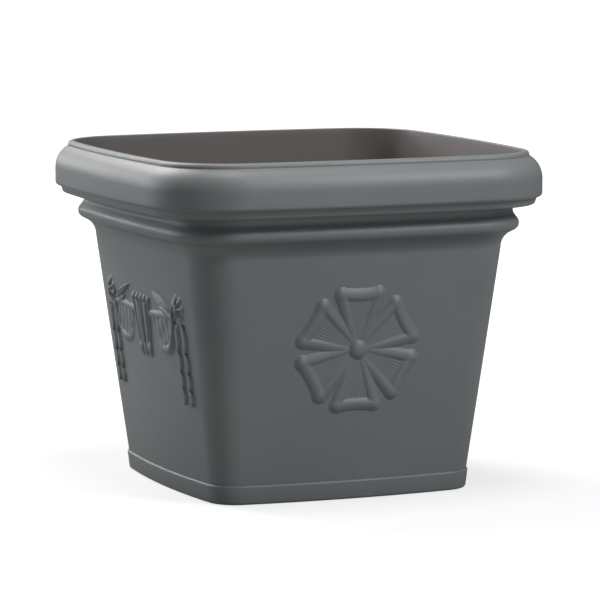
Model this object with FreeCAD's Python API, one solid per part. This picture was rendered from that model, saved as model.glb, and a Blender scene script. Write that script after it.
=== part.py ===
"""Square planter with a bullnose rim, moulded reliefs, a lift-out drainage grid and drain plugs.

Millimetres. +Z is up, the origin is the middle of the footprint on the ground, and the front,
which carries a rosette, faces -Y.
"""
import FreeCAD, Part
import math
import os

from FreeCAD import Matrix, Placement, Rotation, Vector

# Overall form
RIM_WIDTH = 400.0            # across the rim, middle of one side to middle of the other
RIM_CORNER = 79.0            # corner radius of the rim's widest line
RIM_SIDE_RADIUS = 1460.0     # radius of the rim's bowed sides
HEIGHT = 318.0
BASE_WIDTH = 267.0           # across the wall's line carried down to the ground
BASE_CORNER = 27.0
BASE_SIDE_RADIUS = 868.0
WALL = 4.0

# Rim mouldings, from the mouth outwards and down
MOUTH_INSET = 18.6           # mouth edge, in from the rim's widest line
MOUTH_ROUND = 1.4
COLLAR_WIDTH = 6.3           # raised lip round the mouth
COLLAR_HEIGHT = 4.7
COLLAR_ROUND = 1.9
BULLNOSE_RADIUS = 24.0
BULLNOSE_DEPTH = 42.4        # top of the collar to the bullnose's foot
BULLNOSE_FOOT_ROUND = 3.4
LISTEL_SETBACK = 4.9
LISTEL_HEIGHT = 7.2
LISTEL_DRAFT = 2.4
LISTEL_ROUND = 2.6
NECK_INSET = 27.4
NECK_HEIGHT = 8.0
NECK_ROUND = 1.6
SCOTIA_RADIUS = 8.0          # hollow between the neck and the bead
BEAD_REACH = 9.6             # point where the bead's flanks would meet, beyond the neck
BEAD_DROP = 20.0             # the same point, below the listel
BEAD_RADIUS = 6.9
CREASE_DROP = 26.6           # crease between bead and cove, below the listel
CREASE_INSET = 30.8
COVE_HEIGHT = 14.2
WALL_INSET = 38.6            # top of the tapered wall, in from the rim's widest line
KNEE_INSET = 36.0            # inside, where the wall turns towards the mouth
KNEE_DROP = 72.0
KNEE_ROUND = 40.0
HOLLOW_INSET = 1.0           # top edge of the rim's closed hollow, in from the collar's face

# Plinth and floor
PLINTH_HEIGHT = 18.0
PLINTH_PROUD = 2.1
PLINTH_LEDGE_ROUND = 1.6
PLINTH_FOOT_ROUND = 2.8
PLINTH_WIDTH = 9.0           # width of the foot ring
FLOOR_UNDERSIDE = 8.0
FLOOR = 5.0
FLOOR_RIB_WIDTH = 4.0
FLOOR_RIB_DEPTH = 5.0

# Rosette on the front and back walls
ROSETTE_HEIGHT = 141.0       # its middle, above the ground
ROSETTE_RADIUS = 60.0
PETALS = 6
PETAL_RIB = 5.0              # radius of a petal's rounded border
PETAL_TIP_RIB = 2.8          # the same beside the boss
PETAL_KNOB = 5.8             # radius of a petal's outer corners
PETAL_HALF_WIDTH = 18.5      # middle line of the border, at the outer corners
PETAL_PANEL_RISE = 1.2
BOSS_RADIUS = 9.8
BOSS_RISE = 6.0

# Festoon on the left and right walls
KNOT_OUT = 89.0              # knots, out from the middle of the wall
KNOT_HEIGHT = 179.0
KNOT_RADIUS = 8.5
KNOT_RISE = 5.5
KNOT_LOBES = 7
KNOT_LOBE_RADIUS = 4.6
DROP_SPREAD = 7.0            # the two husk drops, either side of their knot
DROP_TOP = 166.0
HUSKS = 4
HUSK_LENGTH = 20.0
HUSK_RADIUS = 5.6
HUSK_WAIST = 3.2
HUSK_TIP = 1.6               # blunt ends of the leaves and the spray
HUSK_SINK = 1.0              # middle line, behind the wall's face
SWAG_TOP = 176.0             # where the swag leaves its knots
SWAG_LOW = 123.0             # lower edge of the outermost fold, at the middle
SWAG_HIGH = 166.0            # upper edge of the cloth, at the middle
SWAG_FOLDS = 3
FOLD_STEP = 12.0             # each fold's lower edge above the last
FOLD_RISE = 1.9              # each fold proud of the last
LEAF_LENGTH = 50.0
LEAF_RADIUS = 5.6
LEAF_OUT = 53.0
LEAF_HEIGHT = 182.0
LEAF_TILT = 14.0             # degrees, down towards the knot
SPRAY_HUSKS = 5
SPRAY_HEIGHT = 180.0
SPRAY_SPREAD = 28.0          # degrees between neighbours
SPRAY_LENGTH = 46.0
SPRAY_RADIUS = 6.6

# Drain holes and plugs
DRAIN_RADIUS = 9.0
DRAIN_OUT = 66.0             # from the middle, along both X and Y
PLUG_CLEARANCE = 0.05
PLUG_FLANGE_RADIUS = 14.0
PLUG_FLANGE = 3.0
PLUG_STEM = 8.0
PLUG_ROUND = 1.2
PLUG_TAB_WIDTH = 12.0
PLUG_TAB_HEIGHT = 11.0
PLUG_TAB = 3.5
PLUG_TAB_HOLE = 3.0

# Drainage grid and its legs
GRID_CLEARANCE = 2.5
GRID_THICKNESS = 5.0
SLOT_WIDTH = 5.0
SLOT_LENGTH = 26.0
SLOT_PITCH_ACROSS = 12.0
SLOT_PITCH_ALONG = 34.0
SLOT_MARGIN = 14.0
GRIP_LENGTH = 64.0
GRIP_WIDTH = 22.0
GRIP_OUT = 52.0
LEG_HEIGHT = 34.0
LEG_OUT = 94.0
LEG_FOOT_RADIUS = 13.0
LEG_TOP_RADIUS = 10.0
LEG_WALL = 2.5
LEG_PIN_RADIUS = 5.0
LEG_PIN_CLEARANCE = 0.1
LEG_ROUND = 1.0

# Levels and lines that follow from the sizes above
Z_COLLAR = HEIGHT - COLLAR_HEIGHT
Z_BULLNOSE_FOOT = HEIGHT - BULLNOSE_DEPTH
Z_LISTEL = Z_BULLNOSE_FOOT - LISTEL_HEIGHT
Z_CREASE = Z_LISTEL - CREASE_DROP
Z_WALL_TOP = Z_CREASE - COVE_HEIGHT
Z_KNEE = HEIGHT - KNEE_DROP
Z_FLOOR = FLOOR_UNDERSIDE + FLOOR
Z_GRID = Z_FLOOR + LEG_HEIGHT
COLLAR_FACE = COLLAR_WIDTH - MOUTH_INSET
WALL_SLOPE = (RIM_WIDTH / 2 - WALL_INSET - BASE_WIDTH / 2) / Z_WALL_TOP
UP = Vector(0, 0, 1)
TINY = 1e-6

# A plan is a square with bowed sides: half-width, corner radius and side radius
RIM_PLAN = (RIM_WIDTH / 2, RIM_CORNER, RIM_SIDE_RADIUS)
BASE_PLAN = (BASE_WIDTH / 2, BASE_CORNER, BASE_SIDE_RADIUS)


def drawn_in(plan, distance):
    """The plan drawn in by a distance all round, about the same arc centres."""
    return tuple(size - distance for size in plan)


def wall_plan(z, depth=0.0):
    """The tapered wall's plan at a height, at a depth behind its outer face."""
    share = z / Z_WALL_TOP
    top = drawn_in(RIM_PLAN, WALL_INSET)
    level = [low + (high - low) * share for low, high in zip(BASE_PLAN, top)]
    return drawn_in(level, depth)


def arc_centres(plan):
    """How far back a side's arc centre lies, and how far out a corner's centre lies along X and Y."""
    half_width, corner, side_radius = plan
    side = side_radius - half_width
    reach = side_radius - corner
    return side, (math.sqrt(2 * reach ** 2 - side ** 2) - side) / 2


def half_span(plan):
    """Half the angle that a side's arc spans, in degrees."""
    side, corner = arc_centres(plan)
    return math.degrees(math.atan2(corner, corner + side))


def turned(shape, quarter):
    """A copy turned about the upright axis by a number of quarter turns."""
    copy = shape.copy()
    copy.rotate(Vector(), UP, 90.0 * quarter)
    return copy


def around(centre, radius, angle, z):
    """A point on an upright cylinder; angle 0 is towards -Y and grows towards +X."""
    turn = math.radians(angle)
    return Vector(centre[0] + radius * math.sin(turn), centre[1] - radius * math.cos(turn), z)


def plan_wire(plan, z):
    """The plan's closed outline at a height: four bowed sides and four corner arcs."""
    half_width, corner_radius, side_radius = plan
    side, corner = arc_centres(plan)
    half = half_span(plan)
    edges = []
    for quarter in range(4):
        bow = [around((0, side), side_radius, angle, z) for angle in (-half, 0, half)]
        bend = [around((corner, -corner), corner_radius, angle, z) for angle in (half, 45, 90 - half)]
        for points in (bow, bend):
            edges.append(turned(Part.Arc(*points).toShape(), quarter))
    return Part.Wire(edges)


def plan_loft(low, z_low, high, z_high):
    """A solid with straight walls between two plans."""
    return Part.makeLoft([plan_wire(low, z_low), plan_wire(high, z_high)], True, True)


def plan_plate(plan, z, thickness):
    """A flat plate of the plan's outline."""
    return Part.Face(plan_wire(plan, z)).extrude(UP * thickness)


def corner_round(before, here, after, radius):
    """Start, middle and end of the arc that rounds a corner."""
    back = (before - here).normalize()
    on = (after - here).normalize()
    half = back.getAngle(on) / 2
    inward = (back + on).normalize()
    reach = radius / math.tan(half)
    return here + back * reach, here + inward * (radius / math.sin(half) - radius), here + on * reach


def rounded_face(corners):
    """A face in the XZ plane from (x, z, radius) corners, each rounded by its radius."""
    points = [Vector(x, 0, z) for x, z, radius in corners]
    arcs = []
    for index, corner in enumerate(corners):
        here = points[index]
        arc = (here, here, here)
        if corner[2] > 0:
            arc = corner_round(points[index - 1], here, points[(index + 1) % len(points)], corner[2])
        arcs.append(arc)
    edges = []
    for index, (start, middle, end) in enumerate(arcs):
        if start.distanceToPoint(end) > TINY:
            edges.append(Part.Arc(start, middle, end).toShape())
        following = arcs[(index + 1) % len(arcs)][0]
        if end.distanceToPoint(following) > TINY:
            edges.append(Part.LineSegment(end, following).toShape())
    return Part.Face(Part.Wire(edges))


def carried(plan, section):
    """A moulding: a section of (outward offset, z) carried right round a plan."""
    half_width, corner_radius, side_radius = plan
    side, corner = arc_centres(plan)
    half = half_span(plan)
    faces = []
    for axis, radius, start, sweep in (
        (Vector(0, side, 0), side_radius, -half, 2 * half),
        (Vector(corner, -corner, 0), corner_radius, half, 90 - 2 * half),
    ):
        profile = section.OuterWire.copy()
        profile.translate(Vector(radius, 0, 0))
        profile.rotate(Vector(), UP, start - 90)
        profile.translate(axis)
        band = profile.revolve(axis, UP, sweep)
        for quarter in range(4):
            faces += turned(band, quarter).Faces
    skin = Part.Shell(faces)
    skin.sewShape()
    return Part.Solid(skin)


def revolved(corners):
    """A solid turned about the upright axis from (radius, z, round) corners."""
    return rounded_face(corners).revolve(Vector(), UP, 360)


# The pot's rim

def bullnose(radius, foot, top):
    """Corner of the bullnose arc that is upright at the rim's widest line and ends at the top point."""
    run = -foot - top[0]
    turn = math.acos((radius - run) / radius)
    return -foot, top[1] - radius * math.sin(turn) + radius * math.tan(turn / 2), radius


def rim_section():
    """Cove, bead, neck, listel, bullnose and collar, and the face towards the soil."""
    cove_run = WALL_INSET - CREASE_INSET
    cove_chord = cove_run ** 2 + COVE_HEIGHT ** 2
    return rounded_face([
        (-WALL_INSET, Z_WALL_TOP, 0),
        (-WALL_INSET, Z_WALL_TOP + cove_chord / (2 * COVE_HEIGHT), cove_chord / (2 * cove_run)),
        (-CREASE_INSET, Z_CREASE, 0),
        (BEAD_REACH - NECK_INSET, Z_LISTEL - BEAD_DROP, BEAD_RADIUS),
        (-NECK_INSET, Z_LISTEL - NECK_HEIGHT, SCOTIA_RADIUS),
        (-NECK_INSET, Z_LISTEL, NECK_ROUND),
        (-LISTEL_SETBACK - LISTEL_DRAFT, Z_LISTEL, LISTEL_ROUND),
        (-LISTEL_SETBACK, Z_BULLNOSE_FOOT, 0),
        (0, Z_BULLNOSE_FOOT, BULLNOSE_FOOT_ROUND),
        bullnose(BULLNOSE_RADIUS, 0, (COLLAR_FACE, Z_COLLAR)),
        (COLLAR_FACE, Z_COLLAR, 0),
        (COLLAR_FACE, HEIGHT, COLLAR_ROUND),
        (-MOUTH_INSET, HEIGHT, MOUTH_ROUND),
        (-KNEE_INSET, Z_KNEE, KNEE_ROUND),
        (-WALL_INSET - WALL, Z_WALL_TOP, 0),
    ])


def inner_face(z):
    """Offset of the rim's inner face at a height between the knee and the mouth."""
    return -KNEE_INSET + (KNEE_INSET - MOUTH_INSET) * (z - Z_KNEE) / KNEE_DROP


def rim_hollow_section():
    """The closed hollow that is left inside the rim, one wall in from every face."""
    low = Z_LISTEL + WALL
    high = Z_COLLAR - WALL
    top = (COLLAR_FACE - HOLLOW_INSET, high)
    return rounded_face([
        (inner_face(low) + WALL, low, 0),
        (-LISTEL_SETBACK - WALL, low, 0),
        (-WALL, Z_BULLNOSE_FOOT + WALL, 0),
        bullnose(BULLNOSE_RADIUS - WALL, WALL, top),
        (top[0], top[1], 0),
        (inner_face(high) + WALL, high, 0),
    ])


def rim():
    return carried(RIM_PLAN, rim_section()).cut(carried(RIM_PLAN, rim_hollow_section()))


# Reliefs, each drawn flat with X across the wall, Y up it and Z out of it

def on_wall(shape, quarter, across, z, spin=0.0):
    """The shape set square on the wall of a quarter, spun about the wall's normal."""
    half_width, corner, side_radius = wall_plan(z)
    turn = math.asin(across / side_radius)
    lean = math.atan(WALL_SLOPE)
    place = around((0, side_radius - half_width), side_radius, math.degrees(turn), z)
    right = Vector(math.cos(turn), math.sin(turn), 0)
    out = Vector(math.sin(turn) * math.cos(lean), -math.cos(turn) * math.cos(lean), -math.sin(lean))
    up = out.cross(right)
    frame = Placement(Matrix(right.x, up.x, out.x, place.x, right.y, up.y, out.y, place.y,
                             right.z, up.z, out.z, place.z, 0, 0, 0, 1))
    placed = shape.copy()
    placed.Placement = frame.multiply(Placement(Vector(), Rotation(UP, spin))).multiply(shape.Placement)
    return turned(placed, quarter)


def husk_chain(count, length, radius, waist):
    """Seed forms end to end along Y, sunk a little into the wall: arcs turned about their chord."""
    start = -count * length / 2
    line = [Vector(0, start, 0), Vector(waist, start, 0)]
    edges = [Part.LineSegment(*line).toShape()]
    for number in range(count):
        foot = start + number * length
        bulge = Part.Arc(Vector(waist, foot, 0), Vector(radius, foot + length / 2, 0),
                         Vector(waist, foot + length, 0))
        edges.append(bulge.toShape())
    edges.append(Part.LineSegment(Vector(waist, -start, 0), Vector(0, -start, 0)).toShape())
    edges.append(Part.LineSegment(Vector(0, -start, 0), Vector(0, start, 0)).toShape())
    chain = Part.Face(Part.Wire(edges)).revolve(Vector(), Vector(0, 1, 0), 360)
    chain.translate(UP * -HUSK_SINK)
    return chain


def dome(radius, rise):
    """A round cap standing on the wall, with a stem inside the wall."""
    rim_point = Vector(radius, 0, 0)
    crown = Vector(0, 0, rise)
    ball = (radius ** 2 + rise ** 2) / (2 * rise)
    slope = math.asin(radius / ball) / 2
    middle = Vector(ball * math.sin(slope), 0, rise - ball + ball * math.cos(slope))
    foot = Vector(radius, 0, -WALL / 2)
    root = Vector(0, 0, -WALL / 2)
    edges = [Part.Arc(crown, middle, rim_point).toShape()]
    for start, end in ((rim_point, foot), (foot, root), (root, crown)):
        edges.append(Part.LineSegment(start, end).toShape())
    return Part.Face(Part.Wire(edges)).revolve(Vector(), UP, 360)


def petal(middle):
    """One petal, pointing along Y: a rounded border, thicker outwards, round a shallow panel."""
    outer = ROSETTE_RADIUS - PETAL_RIB - middle
    inner = BOSS_RADIUS / 2 - middle
    solids = []
    for side in (-1, 1):
        tip = Vector(side * PETAL_TIP_RIB, inner, 0)
        corner = Vector(side * PETAL_HALF_WIDTH, outer, 0)
        solids.append(Part.makeCone(PETAL_TIP_RIB, PETAL_RIB, (corner - tip).Length, tip, corner - tip))
        solids.append(Part.makeSphere(PETAL_KNOB, corner))
    edge_start = Vector(-PETAL_HALF_WIDTH, outer, 0)
    solids.append(Part.makeCylinder(PETAL_RIB, 2 * PETAL_HALF_WIDTH, edge_start, Vector(1, 0, 0)))
    outline = [(-PETAL_TIP_RIB, inner), (PETAL_TIP_RIB, inner), (PETAL_HALF_WIDTH, outer),
               (-PETAL_HALF_WIDTH, outer), (-PETAL_TIP_RIB, inner)]
    panel = Part.Face(Part.makePolygon([Vector(x, y, -WALL / 2) for x, y in outline]))
    solids.append(panel.extrude(UP * (WALL / 2 + PETAL_PANEL_RISE)))
    return solids[0].fuse(solids[1:])


def rosette(quarter):
    """Six petals round a domed boss, each petal set square on its own stretch of wall."""
    middle = ROSETTE_RADIUS / 2
    leaf = petal(middle)
    pieces = [on_wall(dome(BOSS_RADIUS, BOSS_RISE), quarter, 0, ROSETTE_HEIGHT)]
    for number in range(PETALS):
        angle = 360.0 / PETALS * number
        across = -middle * math.sin(math.radians(angle))
        rise = middle * math.cos(math.radians(angle))
        pieces.append(on_wall(leaf, quarter, across, ROSETTE_HEIGHT + rise, angle))
    return pieces


def knot(quarter, across):
    """A ring of round lobes about a domed button."""
    button = dome(KNOT_RADIUS, KNOT_RISE)
    lobes = []
    for number in range(KNOT_LOBES):
        angle = 2 * math.pi * number / KNOT_LOBES
        place = Vector(KNOT_RADIUS * math.cos(angle), KNOT_RADIUS * math.sin(angle), 0)
        lobes.append(Part.makeSphere(KNOT_LOBE_RADIUS, place))
    return on_wall(button.fuse(lobes), quarter, across, KNOT_HEIGHT)


def fold(quarter, number):
    """One fold of the cloth: a crescent between the knots, of even thickness over the bowed wall."""
    level = SWAG_TOP - ROSETTE_HEIGHT
    ends = [Vector(side * KNOT_OUT, level, -KNOT_OUT) for side in (-1, 1)]
    lower = Vector(0, SWAG_LOW + FOLD_STEP * number - ROSETTE_HEIGHT, -KNOT_OUT)
    upper = Vector(0, SWAG_HIGH - ROSETTE_HEIGHT, -KNOT_OUT)
    edges = [Part.Arc(ends[0], lower, ends[1]).toShape(), Part.Arc(ends[1], upper, ends[0]).toShape()]
    blank = Part.Face(Part.Wire(edges)).extrude(UP * (2 * KNOT_OUT))
    rise = FOLD_RISE * (number + 1)
    skin = plan_loft(wall_plan(0, -rise), 0, wall_plan(Z_WALL_TOP, -rise), Z_WALL_TOP)
    return on_wall(blank, quarter, 0, ROSETTE_HEIGHT).common(skin)


def festoon(quarter):
    """A swag between two knots, with husk drops, two leaves and a spray of husks at the middle."""
    pieces = [fold(quarter, number) for number in range(SWAG_FOLDS)]
    drop = husk_chain(HUSKS, HUSK_LENGTH, HUSK_RADIUS, HUSK_WAIST)
    drop_height = DROP_TOP - HUSKS * HUSK_LENGTH / 2
    leaf = husk_chain(1, LEAF_LENGTH, LEAF_RADIUS, HUSK_TIP)
    for side in (-1, 1):
        for beside in (-1, 1):
            pieces.append(on_wall(drop, quarter, side * KNOT_OUT + beside * DROP_SPREAD, drop_height))
        pieces.append(on_wall(leaf, quarter, side * LEAF_OUT, LEAF_HEIGHT, side * (90 - LEAF_TILT) + 180))
        pieces.append(knot(quarter, side * KNOT_OUT))
    seed = husk_chain(1, SPRAY_LENGTH, SPRAY_RADIUS, HUSK_TIP)
    for number in range(SPRAY_HUSKS):
        angle = SPRAY_SPREAD * (number - (SPRAY_HUSKS - 1) / 2)
        across = SPRAY_LENGTH / 2 * math.sin(math.radians(angle))
        fall = SPRAY_LENGTH / 2 * math.cos(math.radians(angle))
        pieces.append(on_wall(seed, quarter, across, SPRAY_HEIGHT - fall, angle))
    return pieces


# The pot

def plinth():
    """The foot ring: a band proud of the wall, with the wall's own slope."""
    lean = WALL_SLOPE * PLINTH_HEIGHT
    back = PLINTH_PROUD - PLINTH_WIDTH
    return carried(BASE_PLAN, rounded_face([
        (back, 0, 0),
        (PLINTH_PROUD, 0, PLINTH_FOOT_ROUND),
        (PLINTH_PROUD + lean, PLINTH_HEIGHT, PLINTH_LEDGE_ROUND),
        (back, PLINTH_HEIGHT, 0),
    ]))


def drain_places():
    """Name and position of each drain."""
    places = {}
    for depth, y in (("front", -DRAIN_OUT), ("back", DRAIN_OUT)):
        for side, x in (("left", -DRAIN_OUT), ("right", DRAIN_OUT)):
            places[depth + "_" + side] = Vector(x, y, 0)
    return places


def floor_ribs():
    """Two crossed stiffening ribs under the floor, ending in the foot ring."""
    length = BASE_WIDTH - PLINTH_WIDTH
    corner = Vector(-length / 2, -FLOOR_RIB_WIDTH / 2, FLOOR_UNDERSIDE - FLOOR_RIB_DEPTH)
    rib = Part.makeBox(length, FLOOR_RIB_WIDTH, FLOOR_RIB_DEPTH, corner)
    return [rib, turned(rib, 1)]


def pot_shell():
    """The moulded pot: tapered wall, floor, plinth, reliefs and rim."""
    body = plan_loft(wall_plan(FLOOR_UNDERSIDE), FLOOR_UNDERSIDE, wall_plan(Z_WALL_TOP), Z_WALL_TOP)
    reliefs = []
    for quarter in (0, 2):
        reliefs += rosette(quarter)
    for quarter in (1, 3):
        reliefs += festoon(quarter)
    body = body.fuse(plinth())
    for relief in reliefs:
        body = body.fuse(relief)
    cavity = plan_loft(wall_plan(Z_FLOOR, WALL), Z_FLOOR, wall_plan(Z_WALL_TOP, WALL), Z_WALL_TOP)
    drains = [Part.makeCylinder(DRAIN_RADIUS, Z_FLOOR, place) for place in drain_places().values()]
    body = body.cut([cavity] + drains)
    return body.fuse([rim()] + floor_ribs()).removeSplitter()


# Pieces inside the pot

def drain_plug(place):
    """A rubber bung: flange on the floor, stem in the drain, and a pull tab with a finger hole."""
    stem = DRAIN_RADIUS - PLUG_CLEARANCE
    bung = revolved([
        (0, -PLUG_STEM, 0),
        (stem, -PLUG_STEM, PLUG_ROUND),
        (stem, 0, 0),
        (PLUG_FLANGE_RADIUS, 0, 0),
        (PLUG_FLANGE_RADIUS, PLUG_FLANGE, PLUG_ROUND),
        (0, PLUG_FLANGE, 0),
    ])
    half = PLUG_TAB_WIDTH / 2
    top = PLUG_FLANGE + PLUG_TAB_HEIGHT
    tab = rounded_face([(-half, 0, 0), (half, 0, 0), (half, top, half), (-half, top, half)])
    tab = tab.extrude(Vector(0, PLUG_TAB, 0))
    tab.translate(Vector(0, -PLUG_TAB / 2, 0))
    eye = Part.makeCylinder(PLUG_TAB_HOLE, PLUG_TAB, Vector(0, -PLUG_TAB / 2, top - half), Vector(0, 1, 0))
    plug = bung.fuse(tab.cut(eye))
    plug.translate(place + UP * Z_FLOOR)
    return plug


def leg_places():
    """Name and position of each leg of the grid."""
    return {
        "front": Vector(0, -LEG_OUT, 0),
        "back": Vector(0, LEG_OUT, 0),
        "left": Vector(-LEG_OUT, 0, 0),
        "right": Vector(LEG_OUT, 0, 0),
        "centre": Vector(0, 0, 0),
    }


def grid_leg(place):
    """A tapered leg, hollow from below, with a pin on top that is pushed into the grid."""
    top = LEG_HEIGHT + GRID_THICKNESS
    hollow = LEG_TOP_RADIUS - LEG_WALL
    leg = revolved([
        (hollow, 0, 0),
        (LEG_FOOT_RADIUS, 0, 0),
        (LEG_TOP_RADIUS, LEG_HEIGHT, 0),
        (LEG_PIN_RADIUS, LEG_HEIGHT, 0),
        (LEG_PIN_RADIUS, top, LEG_ROUND),
        (0, top, 0),
        (0, LEG_HEIGHT - LEG_WALL, 0),
        (hollow, LEG_HEIGHT - LEG_WALL, LEG_ROUND),
    ])
    leg.translate(place + UP * Z_FLOOR)
    return leg


def slot_cutter(length, width, place, along):
    """An upright round-ended cutter for a slot in the grid, along X or along Y."""
    half = length / 2
    end = width / 2
    face = rounded_face([
        (-half, -end, end),
        (half, -end, end),
        (half, end, end),
        (-half, end, end),
    ])
    face.rotate(Vector(), Vector(1, 0, 0), -90)
    cutter = face.extrude(UP * GRID_THICKNESS)
    if along == "y":
        cutter = turned(cutter, 1)
    cutter.translate(place + UP * Z_GRID)
    return cutter


def grid_slots():
    """Rows of slots, leaving out those over a leg, at the edge or in a finger grip."""
    room = wall_plan(Z_GRID, WALL + GRID_CLEARANCE)[0] - SLOT_MARGIN
    rows = int((room - SLOT_LENGTH / 2) // SLOT_PITCH_ALONG)
    columns = int(room // SLOT_PITCH_ACROSS)
    cutters = []
    for row in range(-rows, rows + 1):
        for column in range(-columns, columns + 1):
            place = Vector(column * SLOT_PITCH_ACROSS, row * SLOT_PITCH_ALONG, 0)
            if slot_is_clear(place):
                cutters.append(slot_cutter(SLOT_LENGTH, SLOT_WIDTH, place, "y"))
    return cutters


def slot_is_clear(place):
    """Whether a slot there misses every leg, both grips and the round corners."""
    for leg in leg_places().values():
        if abs(place.x - leg.x) < LEG_TOP_RADIUS + SLOT_WIDTH and abs(place.y - leg.y) < SLOT_LENGTH:
            return False
    if abs(abs(place.y) - GRIP_OUT) < (GRIP_WIDTH + SLOT_LENGTH) / 2 + SLOT_WIDTH:
        if abs(place.x) < GRIP_LENGTH / 2 + SLOT_WIDTH * 2:
            return False
    corner = arc_centres(wall_plan(Z_GRID))[1]
    return abs(place.x) < corner or abs(place.y) + SLOT_LENGTH / 2 < corner


def drainage_grid():
    """A flat slotted plate with two finger grips and holes for the pins of its legs."""
    plate = plan_plate(wall_plan(Z_GRID, WALL + GRID_CLEARANCE), Z_GRID, GRID_THICKNESS)
    cutters = [slot_cutter(GRIP_LENGTH, GRIP_WIDTH, Vector(0, y, 0), "x") for y in (-GRIP_OUT, GRIP_OUT)]
    for place in leg_places().values():
        hole = LEG_PIN_RADIUS + LEG_PIN_CLEARANCE
        cutters.append(Part.makeCylinder(hole, GRID_THICKNESS, place + UP * Z_GRID))
    return plate.cut(cutters + grid_slots())


def pieces():
    """Every piece of the planter by name."""
    named = {"pot_shell": pot_shell(), "drainage_grid": drainage_grid()}
    for name, place in leg_places().items():
        named["grid_leg_" + name] = grid_leg(place)
    for name, place in drain_places().items():
        named["drain_plug_" + name] = drain_plug(place)
    return named


os.makedirs("parts", exist_ok=True)
for piece_name, piece in pieces().items():
    piece.exportStep("parts/" + piece_name + ".step")
    print(piece_name, len(piece.Solids), piece.isValid(), round(piece.Volume), len(piece.Faces))
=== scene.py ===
import math
from collections import namedtuple

import bmesh
import bpy
import numpy as np
from bpy.props import FloatProperty, FloatVectorProperty, IntProperty, PointerProperty
from bpy.types import Operator, Panel, PropertyGroup
from mathutils import Matrix, Vector


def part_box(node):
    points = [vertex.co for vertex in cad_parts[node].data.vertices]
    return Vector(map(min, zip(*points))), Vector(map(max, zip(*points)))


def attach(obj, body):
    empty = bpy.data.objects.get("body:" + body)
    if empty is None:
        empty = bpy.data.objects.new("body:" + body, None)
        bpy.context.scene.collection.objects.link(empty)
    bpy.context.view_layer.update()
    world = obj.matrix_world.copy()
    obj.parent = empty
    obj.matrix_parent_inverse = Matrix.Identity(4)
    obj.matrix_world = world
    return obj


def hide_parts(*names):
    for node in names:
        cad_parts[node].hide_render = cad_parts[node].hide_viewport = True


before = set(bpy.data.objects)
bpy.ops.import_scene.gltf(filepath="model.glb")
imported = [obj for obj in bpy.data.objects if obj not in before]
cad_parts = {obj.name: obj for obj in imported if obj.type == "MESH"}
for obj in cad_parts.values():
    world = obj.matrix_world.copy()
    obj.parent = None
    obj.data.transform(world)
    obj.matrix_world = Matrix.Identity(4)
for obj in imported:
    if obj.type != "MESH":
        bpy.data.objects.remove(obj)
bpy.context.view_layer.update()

bl_info = {
    "name": "Square Planter",
    "version": (1, 0, 0),
    "blender": (4, 5, 0),
    "location": "View3D > Sidebar > Planter",
    "description": "Moulded square planter with rosettes and festoons, dressed on its frame",
    "category": "Object",
}

MM = 0.001
POT_LOW, POT_HIGH = (tuple(corner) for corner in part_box("pot_shell"))
BODY_OF_POT = "pot"
SUNK = 0.35 * MM  # a relief's ground below the wall's face
BACK = -4 * SUNK  # a relief's hidden back
RELIEF_CREASE = 60.0  # degrees, past which a relief's edge is shaded sharp


# Sizes and colours that a user would change

def length(label, words, millimetres):
    """A length property, written here in millimetres and kept in metres."""
    return FloatProperty(name=label, description=words, default=millimetres * MM, unit="LENGTH", precision=5)


def colour(label, words, red, green, blue):
    """A plain colour property."""
    return FloatVectorProperty(name=label, description=words, default=(red, green, blue), subtype="COLOR",
                               size=3, min=0.0, max=1.0)


def share(label, words, value):
    """A plain number between 0 and 1."""
    return FloatProperty(name=label, description=words, default=value, min=0.0, max=1.0, subtype="FACTOR")


def angle(label, words, degrees):
    """An angle property, written here in degrees."""
    return FloatProperty(name=label, description=words, default=math.radians(degrees), subtype="ANGLE")


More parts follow.
